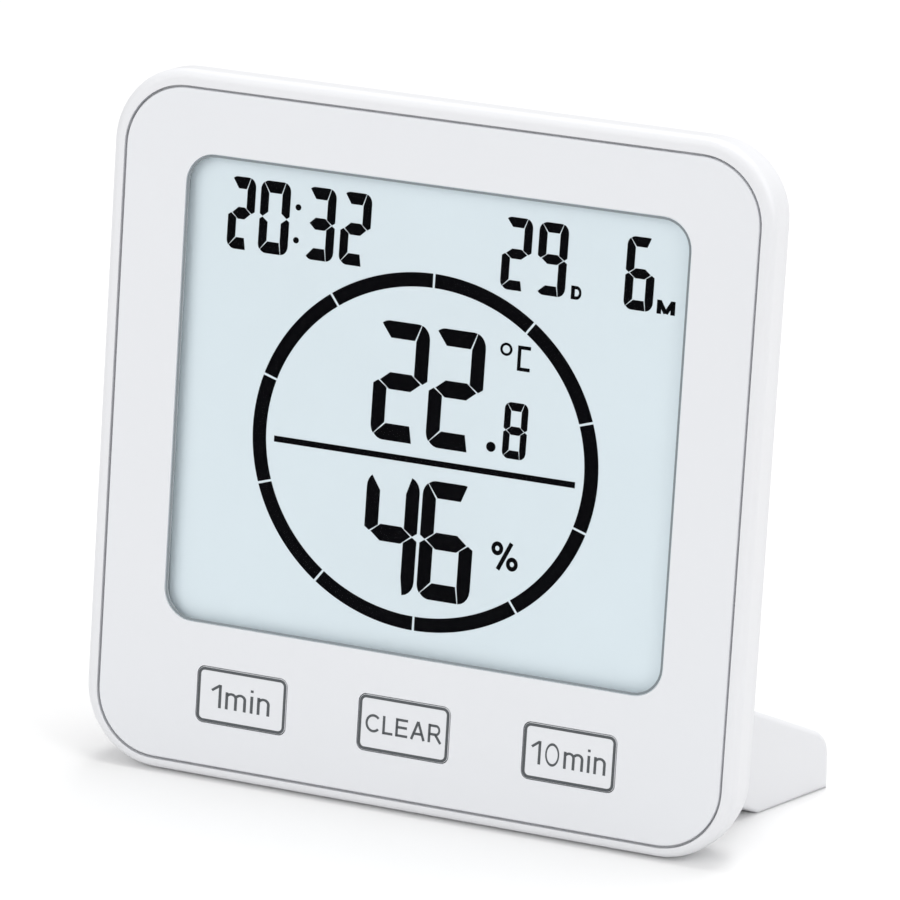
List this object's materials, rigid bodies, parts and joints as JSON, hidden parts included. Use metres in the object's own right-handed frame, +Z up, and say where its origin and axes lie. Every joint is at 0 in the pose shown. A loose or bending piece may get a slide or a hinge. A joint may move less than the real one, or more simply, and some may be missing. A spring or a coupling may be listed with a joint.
{
  "type": "digital hygrometer",
  "caption": "Square white digital hygrometer and clock with a large flat display, flush front keys and a fold-out stand, leaning back on it.",
  "frame": {"origin": "centre of the footprint's bounding box, on the table", "axes": "+Z up, -Y towards the reader of the display, +X to the reader's right; the case leans back 8.2 degrees about X"},
  "size_m": [0.0844, 0.0296, 0.0837],
  "materials": {
    "case_white": "satin white moulding",
    "stand_white": "satin white moulding",
    "panel_white": "smooth white panel",
    "window_clear": "clear, polished",
    "display_glass": "pale blue-grey display with black segments",
    "reflector_film": "matt reflecting film",
    "holder_black": "black moulding",
    "strip_rubber": "rubber strip",
    "key_white": "smooth white key cap",
    "spring_steel": "thin spring steel",
    "board_green": "green lacquer on board",
    "resin_black": "black resin",
    "can_steel": "drawn can",
    "sensor_black": "moulded body",
    "buzzer_black": "moulded body",
    "switch_black": "moulded body",
    "screw_steel": "zinc-plated",
    "contact_nickel": "nickel-plated strip",
    "cell_wrap": "plain printed wrap over a steel can",
    "button_grey": "grey button",
    "pin_steel": "ground pin"
  },
  "bodies": {
    "case": {"front_shell": "case_white", "faceplate": "panel_white", "display_window": "window_clear", "lcd_front_glass": "display_glass", "lcd_rear_glass": "display_glass", "lcd_reflector": "reflector_film", "lcd_holder": "holder_black", "contact_strip": "strip_rubber", "key_domes": "spring_steel", "circuit_board": "board_green", "controller_chip": "resin_black", "clock_crystal": "can_steel", "humidity_sensor": "sensor_black", "buzzer": "buzzer_black", "tact_switches": "switch_black", "board_screws": "screw_steel", "back_shell": "case_white", "case_screws": "screw_steel", "battery_contact_left": "contact_nickel", "battery_contact_right": "contact_nickel", "battery_cell_upper": "cell_wrap", "battery_cell_lower": "cell_wrap"},
    "battery_cover": {"battery_cover": "case_white"},
    "stand": {"stand": "stand_white", "hinge_pins": "pin_steel"},
    "key_one_minute": {"key_one_minute": "key_white"},
    "key_clear": {"key_clear": "key_white"},
    "key_ten_minutes": {"key_ten_minutes": "key_white"},
    "button_mode": {"button_mode": "button_grey"},
    "button_set": {"button_set": "button_grey"},
    "button_up": {"button_up": "button_grey"},
    "button_down": {"button_down": "button_grey"}
  },
  "joints": [
    {"name": "stand_hinge", "type": "hinge", "parent": "case", "child": "stand", "pos_m": [0, -0.00026, 0.00857], "axis": [1, 0, 0], "range_deg": [0, 110.7]},
    {"name": "battery_cover_hinge", "type": "hinge", "parent": "case", "child": "battery_cover", "pos_m": [0, 0.00801, 0.03147], "axis": [-1, 0, 0], "range_deg": [0, 85]},
    {"name": "key_one_minute_press", "type": "slide", "parent": "case", "child": "key_one_minute", "axis": [0, 0.9898, -0.1426], "range_m": [0, 0.00025], "stiffness_N_per_m": 1000, "springref_m": -0.0005},
    {"name": "key_clear_press", "type": "slide", "parent": "case", "child": "key_clear", "axis": [0, 0.9898, -0.1426], "range_m": [0, 0.00025], "stiffness_N_per_m": 1000, "springref_m": -0.0005},
    {"name": "key_ten_minutes_press", "type": "slide", "parent": "case", "child": "key_ten_minutes", "axis": [0, 0.9898, -0.1426], "range_m": [0, 0.00025], "stiffness_N_per_m": 1000, "springref_m": -0.0005},
    {"name": "button_mode_press", "type": "slide", "parent": "case", "child": "button_mode", "axis": [0, -0.9898, 0.1426], "range_m": [0, 0.0008], "stiffness_N_per_m": 400, "springref_m": -0.0005},
    {"name": "button_set_press", "type": "slide", "parent": "case", "child": "button_set", "axis": [0, -0.9898, 0.1426], "range_m": [0, 0.0008], "stiffness_N_per_m": 400, "springref_m": -0.0005},
    {"name": "button_up_press", "type": "slide", "parent": "case", "child": "button_up", "axis": [0, -0.9898, 0.1426], "range_m": [0, 0.0008], "stiffness_N_per_m": 400, "springref_m": -0.0005},
    {"name": "button_down_press", "type": "slide", "parent": "case", "child": "button_down", "axis": [0, -0.9898, 0.1426], "range_m": [0, 0.0008], "stiffness_N_per_m": 400, "springref_m": -0.0005}
  ]
}
